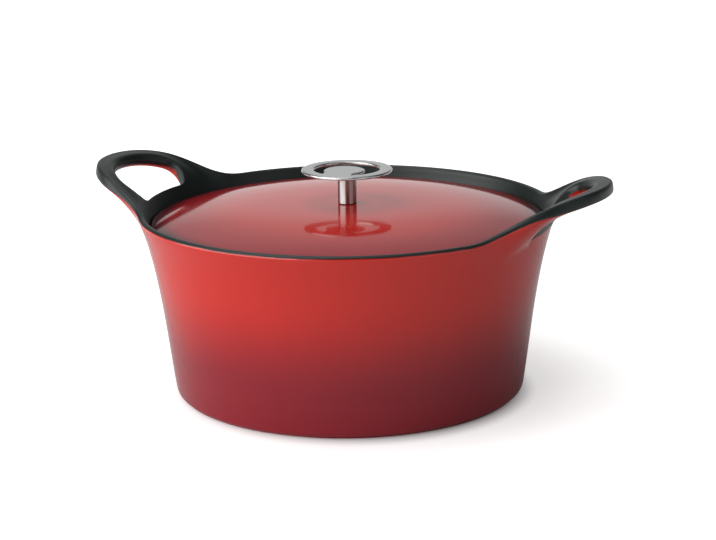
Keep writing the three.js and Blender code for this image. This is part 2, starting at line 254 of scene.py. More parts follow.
# %% [markdown]
# ## Pot: the sweep of the handles
# Seen from above, a handle is a round tip that meets the rim through a fillet on each side. It rises fast
# where it leaves the rim and eases off towards the tip. At every angle a smooth sheet leads from the wall
# to that edge, so the handle grows out of the wall and isn't stuck on. A separate swept loop would need a
# seam there.

# %% Handle sizes
FLARE_DEPTH = 0.0195  # from the rim down to where the outside starts to flare out into a handle
HANDLE_REACH = 0.0365
HANDLE_RISE = 0.0233
HANDLE_ROUND = 0.0554
HANDLE_FILLET = 0.042
HANDLE_GROWTH = 0.0307  # distance past the rim over which the wall grows into the handle
HANDLE_THICKNESS = 0.0071
HANDLE_EDGE = 0.0021  # rounding of the handle's edge; the rim's edge is a half round
STRAP_WIDTH = 0.0119
HOLE_INSET = 0.0004  # from the middle of the wall to the finger hole
HOLE_CORNER = 0.0084
HOLE_EDGE = 0.0022  # rounding of the finger hole's edges
HOLE_POT_EDGE = 0.0005  # narrower next to the pot, where the sheet is steep
RISE_LEAD = radians(3.8)  # the rise sets in this far round the rim before the fillet
RISE_EASE = 0.0155  # length over which it sets in
RISE_BEND = 0.72  # how much sooner it comes than on a straight ramp
UPPER_PULL = 0.54  # how stiffly the sheet's upper face leaves the collar
UNDER_PULL = 0.36  # and its under face leaves the outside of the wall
EDGE_PULL = 0.23  # how stiffly both enter the handle's edge
HALVINGS = 30  # steps in the search for a point on the sheet

flare_z = POT_HEIGHT - FLARE_DEPTH
flare_lean = wall_lean(flare_z)
flare_along = Vector((sin(flare_lean), cos(flare_lean)))
flare_start = Vector((wall_radius(flare_z), flare_z))
tip_x = RIM_RADIUS + HANDLE_REACH
tip_centre = tip_x - HANDLE_ROUND
fillet_reach = RIM_RADIUS + HANDLE_FILLET
both_rounds = HANDLE_ROUND + HANDLE_FILLET
fillet_angle = acos((tip_centre**2 + fillet_reach**2 - both_rounds**2) / (2 * tip_centre * fillet_reach))
tip_share = HANDLE_ROUND / both_rounds
tangent_x = mix(tip_centre, fillet_reach * cos(fillet_angle), tip_share)
tangent_angle = atan2(fillet_reach * sin(fillet_angle) * tip_share, tangent_x)
rise_angle = fillet_angle + RISE_LEAD
rise_start = RIM_RADIUS * cos(rise_angle)
print(f"handle tip {1000 * tip_x:.1f} mm from the axis, {1000 * (POT_HEIGHT + HANDLE_RISE):.1f} mm high")

# %% Sheet of the handle


def outline_radius(angle):
    """Radius of the pot's outline seen from above: the tip's round, then the fillet, then the rim."""
    if angle < tangent_angle:
        return tip_centre * cos(angle) + sqrt(HANDLE_ROUND**2 - (tip_centre * sin(angle)) ** 2)
    if angle < fillet_angle:
        turned_by = angle - fillet_angle
        return fillet_reach * cos(turned_by) - sqrt(HANDLE_FILLET**2 - (fillet_reach * sin(turned_by)) ** 2)
    return RIM_RADIUS


def rise_at(x):
    """How far the edge has risen above the rim, by its distance along X."""
    run = max(x - rise_start, 0)
    tip_run = tip_x - rise_start
    share = (run**2 / (run + RISE_EASE)) / (tip_run**2 / (tip_run + RISE_EASE))
    return HANDLE_RISE * share * (1 + RISE_BEND - RISE_BEND * share)


def bezier(points, t):
    a, b, c, d = points
    s = 1 - t
    return a * s**3 + b * (3 * s**2 * t) + c * (3 * s * t**2) + d * t**3


@lru_cache(maxsize=None)
def sheet_at(angle):
    """The sheet at one angle from a handle's middle: its two faces, and the rounded edge that ends it."""
    radius = outline_radius(abs(angle))
    x = radius * cos(angle)
    grown = smooth(min((radius - RIM_RADIUS) / HANDLE_GROWTH, 1))
    thickness = mix(WALL, HANDLE_THICKNESS, grown)
    slope = (rise_at(x + PROBE) - rise_at(x - PROBE)) / (2 * PROBE)
    pitch = mix(pi / 2 - RIM_LEAN, atan(slope * cos(angle)), grown)
    edge_round = mix(WALL / 2, HANDLE_EDGE, grown)
    flat = thickness / 2 - edge_round
    reach = edge_round + flat * sin(pitch)
    along = Vector((cos(pitch), sin(pitch)))
    across = Vector((along.y, -along.x))
    centre = Vector((radius - reach, POT_HEIGHT + rise_at(x) - edge_round - flat * cos(pitch)))

    def face(start, direction, pull, side):
        end = centre + across * (side * thickness / 2)
        length = (end - start).length
        return start, start + direction * length * pull, end - along * length * EDGE_PULL, end

    return {
        "upper": face(collar_inner, collar_along, UPPER_PULL, -1),
        "under": face(flare_start, flare_along, UNDER_PULL, 1),
        "pitch": pitch,
        "centre": centre,
        "across": across,
        "edge_round": edge_round,
        "flat": flat,
        "grown": grown,
    }


def sheet_point(angle, t, through):
    """A point of the sheet: t runs from the collar to the edge, through from its upper to its under face."""
    sheet = sheet_at(angle)
    point = bezier(sheet["upper"], t).lerp(bezier(sheet["under"], t), through)
    return around(point.x, angle, point.y)


def place_on_sheet(x, y):
    """The angle and t of a point that is given as seen from above."""
    angle = atan2(y, x)
    low, high = 0.0, 1.0
    for _ in range(HALVINGS):
        t = (low + high) / 2
        point = sheet_point(angle, t, 0.5)
        low, high = (t, high) if hypot(point.x, point.y) < hypot(x, y) else (low, t)
    return angle, (low + high) / 2


tip_sheet = sheet_at(0.0)
print(f"at the tip the edge is rounded by {1000 * tip_sheet['edge_round']:.1f} mm")

# %% [markdown]
# ## Pot: the finger hole
# Seen from above, the hole has a round outer side, a side that follows the rim, and round corners. A
# boolean could cut it, but its ragged faces would show in the gloss. So the mesh leaves room for it: a
# block of faces is deleted from both faces of the sheet, the loops around the gap follow the hole's
# outline, and a bridge joins them through the thickness.

# %% Finger hole outline
HOLE_HALF_COLUMNS = 6
SHEET_ROWS = 8
HOLE_ROWS = (3, 6)  # rows of the sheet that lie on the hole's inner and outer side
PATH_STEPS = 40  # on each of the three arcs of half the outline


def hole_half(widen):
    """Half of the hole's outline as a fine path, from the middle of its pot side to that of its outer side.

    widen gives how far outside the outline the path runs, on the pot side and on the outer side.
    """
    pot_widen, outer_widen = widen
    outer = HANDLE_ROUND - STRAP_WIDTH
    inner = RIM_RADIUS - WALL / 2 + HOLE_INSET
    outer_reach = outer - HOLE_CORNER
    inner_reach = inner + HOLE_CORNER
    corner_x = (inner_reach**2 - outer_reach**2 + tip_centre**2) / (2 * tip_centre)
    corner_y = sqrt(inner_reach**2 - corner_x**2)
    outer_angle = atan2(corner_y, corner_x - tip_centre)
    inner_angle = atan2(corner_y, corner_x)
    path = arc((0, 0), inner - pot_widen, 0, inner_angle, PATH_STEPS)
    for step in range(PATH_STEPS + 1):
        share = step / PATH_STEPS
        corner_radius = HOLE_CORNER + mix(pot_widen, outer_widen, share)
        angle = mix(pi + inner_angle, outer_angle, share)
        path.append(on_circle((corner_x, corner_y), corner_radius, angle))
    path += arc((tip_centre, 0), outer + outer_widen, outer_angle, 0, PATH_STEPS)
    return np.array(path)


def hole_loop(widen=(0, 0)):
    """The loop's points, evenly spaced: half of them along the path above, the rest mirrored."""
    path = hole_half(widen)
    run = np.concatenate(([0], np.cumsum(np.linalg.norm(np.diff(path, axis=0), axis=1))))
    count = 2 * HOLE_HALF_COLUMNS + HOLE_ROWS[1] - HOLE_ROWS[0]
    marks = np.linspace(0, run[-1], count + 1)
    half = np.stack([np.interp(marks, run, path[:, axis]) for axis in (0, 1)], axis=1)
    return np.concatenate((half, half[-2:0:-1] * (1, -1)))


def hole_slots():
    """Column and row of each point of the loop, in the same order."""
    first, last = HOLE_ROWS
    half = [(column, first) for column in range(HOLE_HALF_COLUMNS)]
    half += [(HOLE_HALF_COLUMNS, row) for row in range(first, last + 1)]
    half += [(column, last) for column in reversed(range(HOLE_HALF_COLUMNS))]
    return half + [(-column, row) for column, row in half[-2:0:-1]]


print(f"the hole's loop has {len(hole_slots())} points")

# %% [markdown]
# ## Pot: its columns and rows
# The pot's mesh is a grid: columns run up the outside, over the edge and down the inside, and rows run
# round. Columns lie closer together on the handles. On the sheet of each handle the hole's loop is set
# first, and the points around it are then relaxed to the mean of their neighbours, so that the faces flow
# round the hole.

# %% Grid of the handle
HANDLE_COLUMNS = 13
RIM_COLUMNS = 8
HANDLE_MARGIN = radians(4)
RELAX_STEPS = 400

quarter = HANDLE_COLUMNS + RIM_COLUMNS
handle_end = rise_angle + HANDLE_MARGIN
column_angles = [handle_end * i / HANDLE_COLUMNS for i in range(HANDLE_COLUMNS)]
column_angles += [mix(handle_end, pi / 2, i / RIM_COLUMNS) for i in range(RIM_COLUMNS + 1)]


def column_angle(column):
    return column_angles[abs(column)] * (1 if column >= 0 else -1)


def handle_grid():
    """Angle and t of every point of a handle's sheet, by column from its middle and by row."""
    shape = (2 * HANDLE_COLUMNS + 1, SHEET_ROWS + 1)
    grid = np.zeros((*shape, 2))
    for column in range(-HANDLE_COLUMNS, HANDLE_COLUMNS + 1):
        for row in range(SHEET_ROWS + 1):
            grid[column + HANDLE_COLUMNS, row] = column_angle(column), row / SHEET_ROWS
    free = np.ones(shape, bool)
    free[[0, -1], :] = False
    free[:, 0] = False
    for (column, row), (x, y) in zip(hole_slots(), hole_loop((HOLE_POT_EDGE, HOLE_EDGE))):
        grid[column + HANDLE_COLUMNS, row] = place_on_sheet(x, y)
        free[column + HANDLE_COLUMNS, row] = False
    for _ in range(RELAX_STEPS):
        mean = grid.copy()
        mean[1:-1, 1:-1] = (grid[:-2, 1:-1] + grid[2:, 1:-1] + grid[1:-1, :-2] + grid[1:-1, 2:]) / 4
        mean[1:-1, -1, 0] = (grid[:-2, -1, 0] + grid[2:, -1, 0] + grid[1:-1, -2, 0]) / 3
        grid[free] = mean[free]
    return grid


sheet_grid = handle_grid()


def sheet_slot(column, row):
    """Angle and t of a point of the sheet at any column round the pot."""
    if abs(column) <= HANDLE_COLUMNS:
        return tuple(sheet_grid[column + HANDLE_COLUMNS, row])
    return column_angle(column), row / SHEET_ROWS


print(f"{4 * quarter} columns round the pot")

# %% Rows of the pot
CAP_STEPS = 8
WALL_BLEND_COLUMNS = 4  # over which the outside goes from the plain wall's line to the flare
WALL_BLEND_PAST = 2  # columns past the hole's side at which only the flare is left
WALL_STEPS = 12
INSIDE_STEPS = 7
FILLET_STEPS = 4
LEDGE_STEPS = 2
BASE_RINGS = (0.050, 0.085)
FLOOR_RINGS = (0.080, 0.045)

base_top = BASE_FILLET * (1 - sin(BASE_LEAN))
base_centre = (wall_radius(base_top) - BASE_FILLET * cos(BASE_LEAN), BASE_FILLET)
floor_centre_z = FLOOR_THICKNESS + FLOOR_FILLET
floor_top = floor_centre_z - FLOOR_FILLET * sin(BASE_LEAN)
floor_centre = (inner_radius(floor_top) - FLOOR_FILLET * cos(BASE_LEAN), floor_centre_z)
wall_heights = eased(base_top, flare_z, WALL_STEPS)[1:-1]
inside_heights = eased(ledge_z - 2 * LEDGE_FILLET, floor_top, INSIDE_STEPS)[:-1]
ledge = rounded(
    [
        (*collar_inner, 0),
        (ledge_radius, ledge_z, LEDGE_FILLET),
        (mouth_radius, ledge_z, LEDGE_FILLET),
        (mouth_radius, inside_heights[0], 0),
    ],
    steps=LEDGE_STEPS,
)[1:-1]

rows = [("turned", (r, 0)) for r in BASE_RINGS]
rows += [("turned", point) for point in arc(base_centre, BASE_FILLET, -pi / 2, -BASE_LEAN, FILLET_STEPS)]
rows += [("turned", (wall_radius(z), z)) for z in wall_heights]
rows += [("under", row) for row in range(SHEET_ROWS)]
rows += [("cap", step) for step in range(CAP_STEPS + 1)]
rows += [("upper", row) for row in reversed(range(SHEET_ROWS))]
rows += [("turned", point) for point in ledge]
rows += [("turned", (inner_radius(z), z)) for z in inside_heights]
rows += [("turned", point) for point in arc(floor_centre, FLOOR_FILLET, -BASE_LEAN, -pi / 2, FILLET_STEPS)]
rows += [("turned", (r, FLOOR_THICKNESS)) for r in FLOOR_RINGS]


def cap_side(step):
    """-1 for the steps on the edge's under corner, 1 for those on its upper corner, 0 in its middle."""
    return (step > CAP_STEPS / 2) - (step < CAP_STEPS / 2)


def cap_point(angle, step):
    """A point on the edge, from the under face (step 0) round both corners to the upper face."""
    sheet = sheet_at(angle)
    turn_angle = sheet["pitch"] + pi * (step / CAP_STEPS - 0.5)
    spoke = Vector((cos(turn_angle), sin(turn_angle))) * sheet["edge_round"]
    point = sheet["centre"] - sheet["across"] * sheet["flat"] * cap_side(step) + spoke
    return around(point.x, angle, point.y)


def drawn_to_wall(point, column):
    """Under a finger hole the outside keeps the plain wall's line. Only beside it does it flare out."""
    run = (HOLE_HALF_COLUMNS + WALL_BLEND_PAST - abs(column)) / WALL_BLEND_COLUMNS
    share = smooth(max(0, min(1, run)))
    scale = wall_radius(point.z) / hypot(point.x, point.y)
    return point.lerp(Vector((point.x * scale, point.y * scale, point.z)), share)


def pot_point(column, row):
    """Where a point of the pot's grid lies, for the handle along +X."""
    kind, where = rows[row]
    if kind == "turned":
        return around(where[0], column_angle(column), where[1])
    if kind == "cap":
        return cap_point(sheet_slot(column, SHEET_ROWS)[0], where)
    point = sheet_point(*sheet_slot(column, where), 0 if kind == "upper" else 1)
    below_hole = where < HOLE_ROWS[0] or (where == HOLE_ROWS[0] and abs(column) < HOLE_HALF_COLUMNS)
    if kind == "under" and below_hole:
        point = drawn_to_wall(point, column)
    return point


print(f"{len(rows)} rows from the base to the floor")

# %% [markdown]
# ## Pot: turned plain, then drawn out
# A plain pot without handles is turned first. Then every point goes to its own place on the grid, which
# draws the handles out of the rim, as the founder's pattern does. Each point also gets its distance from
# the line where the black glaze meets the red one, for the enamel to read.

# %% Turn the plain pot
plain = [pot_point(quarter, row) for row in range(len(rows))]
plain_profile = [(hypot(point.x, point.y), point.z) for point in plain]
pot = turned("dutch_oven_pot", plain_profile, 4 * quarter)
print(len(pot.data.vertices), "points")

# %% Find each point's column and row
plain_rows = np.array(plain_profile)
grid_of_point = {}
for vertex in pot.data.vertices:
    radius = hypot(vertex.co.x, vertex.co.y)
    if radius > PROBE:
        misses = np.linalg.norm(plain_rows - (radius, vertex.co.z), axis=1)
        turned_by = round(atan2(vertex.co.y, vertex.co.x) / (2 * pi) * 4 * quarter) % (4 * quarter)
        grid_of_point[vertex.index] = turned_by, int(misses.argmin())


def nearest_handle(turned_by):
    """Column from the middle of the nearest handle, and +1 for the handle along +X or -1 for the other."""
    if turned_by <= quarter:
        return turned_by, 1
    if turned_by < 3 * quarter:
        return turned_by - 2 * quarter, -1
    return turned_by - 4 * quarter, 1


print(len(grid_of_point), "points found on the grid")

# %% Draw the handles out
GLAZE_FAR = 0.005  # as far from the glaze line as its distance is kept
RIM_GLAZE_DROP = 0.0019  # how far the line runs from the middle of the edge, towards the under face
HANDLE_GLAZE_DROP = 0.0036
# On the pot's side of a finger hole the black runs nearly to the foot of the wall, deepest in the corners:
# painted shade in the crease under the arm.
POT_SIDE_SHADE_GLAZE_SHARE = 0.75  # how far down the wall of the finger hole it runs, on the side next to the pot
CORNER_SHADE_GLAZE_SHARE = 0.9  # and in the corners of that side
CORNER_GLAZE_POWER = 3  # the drop comes close to the corners


def pot_side_glaze_and_shade(column):
    """How far down the pot's side of a finger hole the black glaze runs. It runs deep, as painted shade in
    the crease under the arm.
    """
    corner_share = (abs(column) / HOLE_HALF_COLUMNS) ** CORNER_GLAZE_POWER
    return mix(POT_SIDE_SHADE_GLAZE_SHARE, CORNER_SHADE_GLAZE_SHARE, corner_share)


def hole_glaze(through, glaze_share, fade=1):
    """Distance from the glaze line on the wall of a finger hole. A fade below 1 blurs the line wide, which
    paints shade into the red inside the hole.
    """
    return (through - glaze_share) * HANDLE_THICKNESS * fade


def near_line(distance):
    """The distance from the glaze line, kept within GLAZE_FAR."""
    return max(-GLAZE_FAR, min(GLAZE_FAR, distance))


def glaze_distance(column, row):
    """Distance from the glaze line: red outside is positive, black inside is negative."""
    kind, where = rows[row]
    if kind not in ("cap", "under"):
        outside = row < rows.index(("cap", 0))
        return GLAZE_FAR if outside else -GLAZE_FAR
    # On the pot's side of a hole the line is set low: painted shade in the crease under the arm.
    if (kind, where) == ("under", HOLE_ROWS[0]) and abs(column) <= HOLE_HALF_COLUMNS:
        return hole_glaze(1, pot_side_glaze_and_shade(column))
    edge_angle = sheet_slot(column, SHEET_ROWS)[0]
    sheet = sheet_at(edge_angle)
    step = where if kind == "cap" else 0
    below = -sheet["edge_round"] * pi * (step / CAP_STEPS - 0.5) - sheet["flat"] * cap_side(step)
    if kind == "under":
        below += (pot_point(column, row) - cap_point(edge_angle, 0)).length
    return near_line(below - mix(RIM_GLAZE_DROP, HANDLE_GLAZE_DROP, sqrt(sheet["grown"])))


glaze = pot.data.attributes.new("glaze_and_shade_line", "FLOAT", "POINT")
for vertex in pot.data.vertices:
    if vertex.index not in grid_of_point:
        glaze.data[vertex.index].value = GLAZE_FAR if vertex.co.z < PROBE else -GLAZE_FAR
        continue
    turned_by, row = grid_of_point[vertex.index]
    column, side = nearest_handle(turned_by)
    vertex.co = pot_point(column, row) * Vector((side, side, 1))
    glaze.data[vertex.index].value = glaze_distance(column, row)
print(f"the handles now reach {1000 * max(vertex.co.x for vertex in pot.data.vertices):.1f} mm")

# %% [markdown]
# ## Pot: opening the finger holes
# The faces inside each loop go, on the upper and the under face, and a bridge with two cuts makes the
# wall of the hole. The two new loops go to the hole's own outline. Those on the faces lie a little wider,
# most of all on the side of the tip, and that rounds the edges. Black glaze runs down the wall of the
# hole, and meets the red there. On the pot's side, and most in its corners, the black runs nearly to the
# foot of the wall: painted shade in the crease under the arm. On the arms the line is blurred wide, which
# paints shade into the red inside the hole.

# %% Cut the finger holes
HOLE_CUTS = 2


def in_hole(vertex_index):
    """Whether a point lies on a hole's loop or inside it, on either face of the sheet."""
    turned_by, row = grid_of_point.get(vertex_index, (0, 0))
    kind, where = rows[row]
    if kind not in ("upper", "under"):
        return False
    column, _ = nearest_handle(turned_by)
    return HOLE_ROWS[0] <= where <= HOLE_ROWS[1] and abs(column) <= HOLE_HALF_COLUMNS


edit(pot)
bpy.ops.mesh.select_mode(type="FACE")
select(pot, "faces", lambda face: all(in_hole(vertex.index) for vertex in face.verts))
bpy.ops.mesh.delete(type="FACE")
bpy.ops.object.mode_set(mode="OBJECT")
points_before = len(pot.data.vertices)
edit(pot)
bpy.ops.mesh.select_mode(type="EDGE")
for side in (1, -1):
    select(pot, "edges", lambda edge: edge.is_boundary and edge.verts[0].co.x * side > 0)
    bpy.ops.mesh.bridge_edge_loops(number_cuts=HOLE_CUTS, interpolation="LINEAR")
bpy.ops.object.mode_set(mode="OBJECT")
print(len(pot.data.vertices) - points_before, "points on the walls of the holes")

# %% Shape the walls of the finger holes
ARM_GLAZE_SHARE = 0.1  # how far down the wall the black glaze runs on the arms, at their pot ends
TIP_GLAZE_SHARE = 0.95  # and on the side next to the tip
ARM_GLAZE_BEND = 0.7  # below 1, it drops soon along the arms
# The wide blur mixes black into the red on the arms: painted shade inside the hole.
ARM_GLAZE_SHADE_BLUR = 0.22  # the line is blurred on the arms

edge_share = HOLE_EDGE / HANDLE_THICKNESS
wall_shares = (edge_share, 1 - edge_share)
hole_middle = hole_loop().mean(axis=0)


def wall_glaze(column, row, x, y, through):
    """Distance from the glaze line at one point of a hole's wall."""
    # On the pot's side the black runs nearly to the foot of the wall: painted shade.
    if row == HOLE_ROWS[0]:
        return hole_glaze(through, pot_side_glaze_and_shade(column))
    towards_tip = (1 + cos(atan2(y - hole_middle[1], x - hole_middle[0]))) / 2
    glaze_share = mix(ARM_GLAZE_SHARE, TIP_GLAZE_SHARE, towards_tip**ARM_GLAZE_BEND)
    return hole_glaze(through, glaze_share, ARM_GLAZE_SHADE_BLUR)


cut_places, wall_places, wall_glazes = [], [], []
for side in (1, -1):
    flip = Vector((side, side, 1))
    for (column, row), (x, y) in zip(hole_slots(), hole_loop()):
        upper_end, under_end = (pot_point(column, rows.index((kind, row))) for kind in ("upper", "under"))
        on_pot_side = row == HOLE_ROWS[0] and abs(column) < HOLE_HALF_COLUMNS
        for cut, through in enumerate(wall_shares, start=1):
            cut_places.append(upper_end.lerp(under_end, cut / (HOLE_CUTS + 1)) * flip)
            place = sheet_point(*place_on_sheet(x, y), through)
            if on_pot_side and through > 0.5:
                place = drawn_to_wall(place, column)
            wall_places.append(place * flip)
            wall_glazes.append(wall_glaze(column, row, x, y, through))
cut_places = np.array(cut_places)
glaze = pot.data.attributes["glaze_and_shade_line"]
worst = 0
for vertex in list(pot.data.vertices)[points_before:]:
    misses = np.linalg.norm(cut_places - np.array(vertex.co), axis=1)
    match = int(misses.argmin())
    worst = max(worst, misses[match])
    vertex.co = wall_places[match]
    glaze.data[vertex.index].value = wall_glazes[match]
print(f"the cuts were found within {1000 * worst:.4f} mm")

# %% [markdown]
# ## Pot: a smooth skin
# Subdivision Surface turns the grid into the even skin that gloss needs, but it cuts corners: the skin
# shrinks away from the points. So the points outside, on the sheet and round the holes are pushed out by
# what is missing, and the skin then runs through the places that were worked out.

# %% Smooth the pot
SKIN_LEVELS = 2
SETTLE_PASSES = 3

edit(pot)
close_edit()
bpy.ops.object.shade_smooth()
bpy.ops.object.modifier_add(type="SUBSURF")
skin = pot.modifiers[-1]
skin.levels = SKIN_LEVELS
skin.render_levels = SKIN_LEVELS
count = len(pot.data.vertices)
placed = np.empty(count * 3)
pot.data.vertices.foreach_get("co", placed)
placed = placed.reshape(count, 3)
cage = placed.copy()
settles = np.linalg.norm(placed[:, :2], axis=1) > mouth_radius
settles |= placed[:, 2] < FLOOR_THICKNESS / 2
for _ in range(SETTLE_PASSES):
    bpy.context.view_layer.update()
    smoothed = pot.evaluated_get(bpy.context.evaluated_depsgraph_get())
    found = np.empty(len(smoothed.data.vertices) * 3)
    smoothed.data.vertices.foreach_get("co", found)
    missing = placed - found.reshape(-1, 3)[:count]
    print(f"skin off its places by up to {1000 * np.abs(missing[settles]).max():.3f} mm")
    cage[settles] += missing[settles]
    pot.data.vertices.foreach_set("co", cage.ravel())
    pot.data.update()
bpy.ops.object.modifier_apply(modifier=skin.name)
print(len(pot.data.polygons), "faces on the pot")

# %% [markdown]
# ## Lid
# The lid is a second casting: a shallow dome with a rounded edge. Its edge rests on the pot's ledge, and
# a skirt below keeps it in place. A sphere's cap would be too round in the middle, so the dome falls off
# by a power of the radius. Its rings lie closer together towards the edge, where the gloss shows every
# bump.

# %% Lid
SEAT_GAP = 0.0003
LID_CLEARANCE = 0.0008
LID_EDGE = 0.0052
LID_EDGE_ROUND = 0.0014
LID_THICKNESS = 0.0046
DOME_RISE = 0.009
DOME_POWER = 3.8
SKIRT_DEPTH = 0.005
SKIRT_THICKNESS = 0.0036
SKIRT_ROOT_FILLET = 0.0025
SKIRT_FILLET = 0.0012
SEAT_FILLET = 0.0008
FOOT_FILLET = 0.0006  # on the outer corner of the seat
SCREW_RADIUS = 0.003
SCREW_CLEARANCE = 0.00035
LID_COLUMNS = 192
DOME_RINGS = 22
UNDER_RINGS = 8
LID_EDGE_STEPS = 8
LID_SMOOTH_ANGLE = radians(50)

lid_seat = ledge_z + SEAT_GAP
lid_radius = ledge_radius - LID_CLEARANCE
lid_top = lid_seat + LID_EDGE + DOME_RISE
lid_under = lid_top - LID_THICKNESS
lid_edge_top = lid_radius + LID_EDGE * tan(collar_lean)
bolt_hole = SCREW_RADIUS + SCREW_CLEARANCE
skirt_outer = mouth_radius - LID_CLEARANCE
skirt_inner = skirt_outer - SKIRT_THICKNESS


def dome(radius, top):
    """Height of the dome's face at a radius, for a face whose middle is at top."""
    return top - DOME_RISE * (radius / lid_edge_top) ** DOME_POWER


dome_end = lid_edge_top - LID_EDGE_ROUND
dome_slope = atan((dome(dome_end - PROBE, lid_top) - dome(dome_end + PROBE, lid_top)) / (2 * PROBE))
round_centre = (
    dome_end - LID_EDGE_ROUND * sin(dome_slope),
    dome(dome_end, lid_top) - LID_EDGE_ROUND * cos(dome_slope),
)
ring_shares = [cos(pi / 2 * i / DOME_RINGS) for i in range(1, DOME_RINGS + 1)]
top_rings = [bolt_hole + (dome_end - bolt_hole) * share for share in ring_shares]
under_rings = [mix(bolt_hole, skirt_inner - SKIRT_DEPTH, i / UNDER_RINGS) for i in range(UNDER_RINGS + 1)]
skirt = rounded(
    [
        (under_rings[-1], dome(under_rings[-1], lid_under), 0),
        (skirt_inner, dome(skirt_inner, lid_under), SKIRT_ROOT_FILLET),
        (skirt_inner, lid_seat - SKIRT_DEPTH, SKIRT_FILLET),
        (skirt_outer, lid_seat - SKIRT_DEPTH, SKIRT_FILLET),
        (skirt_outer, lid_seat, SEAT_FILLET),
        (lid_radius, lid_seat, FOOT_FILLET),
        (round_centre[0] + LID_EDGE_ROUND, round_centre[1], 0),
    ]
)
lid_edge = arc(round_centre, LID_EDGE_ROUND, 0, pi / 2 - dome_slope, LID_EDGE_STEPS)
under_profile = [(r, dome(r, lid_under)) for r in under_rings] + skirt[1:-1]
lid_profile = under_profile + lid_edge + [(r, dome(r, lid_top)) for r in top_rings]
lid = turned("dutch_oven_lid", lid_profile, LID_COLUMNS, ends="ring")
bpy.ops.object.shade_smooth_by_angle(angle=LID_SMOOTH_ANGLE)
print(f"lid {2000 * lid_edge_top:.1f} mm across, {len(lid.data.polygons)} faces")

# %% Glaze line of the lid
LID_GLAZE_HEIGHT = 0.0006  # the line runs round the edge, this far above the seat
LID_EDGE_BAND = 0.001  # points this close to the outer radius lie on the edge


def lid_glaze_distance(point):
    """Distance from the glaze line: red on top is positive, black underneath is negative."""
    radius = hypot(point.x, point.y)
    if radius > lid_radius - LID_EDGE_BAND:
        return near_line(point.z - (lid_seat + LID_GLAZE_HEIGHT))
    middle = dome(min(radius, lid_edge_top), lid_under) + LID_THICKNESS / 2
    return GLAZE_FAR if point.z > middle else -GLAZE_FAR


glaze = lid.data.attributes.new("glaze_and_shade_line", "FLOAT", "POINT")
for vertex in lid.data.vertices:
    glaze.data[vertex.index].value = lid_glaze_distance(vertex.co)
print(sum(item.value > 0 for item in glaze.data), "red points on the lid")

# %% [markdown]
# ## Knob ring
# The knob is a flat steel ring with an off-centre disc in it. The two are joined by a web on one side, so
# the opening between them is a letter C. Its outline is drawn from three circles with a gap at the web,
# filled to a plate, and extruded. Its edges are worn round, as tumbling leaves them. A Bevel modifier
# stops at the thin faces of the fill, so each flat face is sunk, and then inset and raised in small
# steps.

# %% Knob ring sizes
KNOB_HEIGHT = 0.022
RING_RADIUS = 0.0282
RING_HOLE_RADIUS = 0.0205
RING_THICKNESS = 0.0019
RING_UPPER_EDGE = (0.0014, 0.00085)  # rounding of the upper edges: across the face, and down the side
RING_UNDER_EDGE = (0.0003, 0.0003)
DISC_RADIUS = 0.0127
DISC_OFFSET = 0.0046
WEB_WIDTH = 0.018
RING_COLUMNS = 160
RING_EDGE_STEPS = 6
SHARP_ANGLE = radians(30)  # steel edges steeper than this stay crisp

ring_top = lid_top + KNOB_HEIGHT
ring_bottom = ring_top - RING_THICKNESS
print(f"ring from {1000 * ring_bottom:.1f} to {1000 * ring_top:.1f} mm high")

# %% Knob ring


def knob_ring_plate():
    """The three circles of the ring's outline, at the height of its upper face."""
    plate = open_circle("steel_knob_ring", RING_COLUMNS, RING_RADIUS, ring_top)
    for radius, offset in ((RING_HOLE_RADIUS, 0), (DISC_RADIUS, -DISC_OFFSET)):
        centre = (0, offset, ring_top)
        bpy.ops.mesh.primitive_circle_add(vertices=RING_COLUMNS, radius=radius, location=centre)
    return plate


def cut_web(plate):
    """Takes the points of the web's strip out of both inner circles, and joins their ends."""

    def in_web(vertex):
        x, y, _ = vertex.co
        return hypot(x, y) < RING_RADIUS - PROBE and y < -DISC_OFFSET and abs(x) < WEB_WIDTH / 2

    select(plate, "verts", in_web)
    bpy.ops.mesh.delete(type="VERT")
    for side in (1, -1):
        select(plate, "verts", lambda vertex: len(vertex.link_edges) == 1 and vertex.co.x * side > 0)
        bpy.ops.mesh.edge_face_add()


def round_face(plate, face_side, width, height):
    """Rounds the edges of the plate's upper (1) or under (-1) face: it is sunk, then inset and raised."""
    middle = ring_top - RING_THICKNESS / 2

    def on_face(face):
        heights = [vertex.co.z - middle for vertex in face.verts]
        return max(heights) - min(heights) < RING_THICKNESS / 10 and heights[0] * face_side > 0

    select(plate, "faces", on_face)
    bpy.ops.mesh.normals_make_consistent(inside=False)
    bpy.ops.transform.translate(value=(0, 0, -face_side * height))
    turns = [pi / 2 * i / RING_EDGE_STEPS for i in range(RING_EDGE_STEPS + 1)]
    for start, end in zip(turns, turns[1:]):
        bpy.ops.mesh.inset(thickness=width * (cos(start) - cos(end)), depth=0, use_even_offset=True)
        bpy.ops.transform.translate(value=(0, 0, face_side * height * (sin(end) - sin(start))))
    # One more inset, level with the last, keeps the shading of the flat face from the rounding.
    bpy.ops.mesh.inset(thickness=width / RING_EDGE_STEPS, depth=0, use_even_offset=True)


ring = knob_ring_plate()
bpy.ops.mesh.select_mode(type="VERT")
cut_web(ring)
bpy.ops.mesh.select_all(action="SELECT")
bpy.ops.mesh.fill(use_beauty=True)
bpy.ops.mesh.select_all(action="SELECT")
bpy.ops.mesh.extrude_region_move(TRANSFORM_OT_translate={"value": (0, 0, -RING_THICKNESS)})
bpy.ops.mesh.select_mode(type="FACE")
round_face(ring, 1, *RING_UPPER_EDGE)
round_face(ring, -1, *RING_UNDER_EDGE)
close_edit()
bpy.ops.object.shade_smooth_by_angle(angle=SHARP_ANGLE)
print(f"ring {2000 * RING_RADIUS:.1f} mm across, {len(ring.data.polygons)} faces")

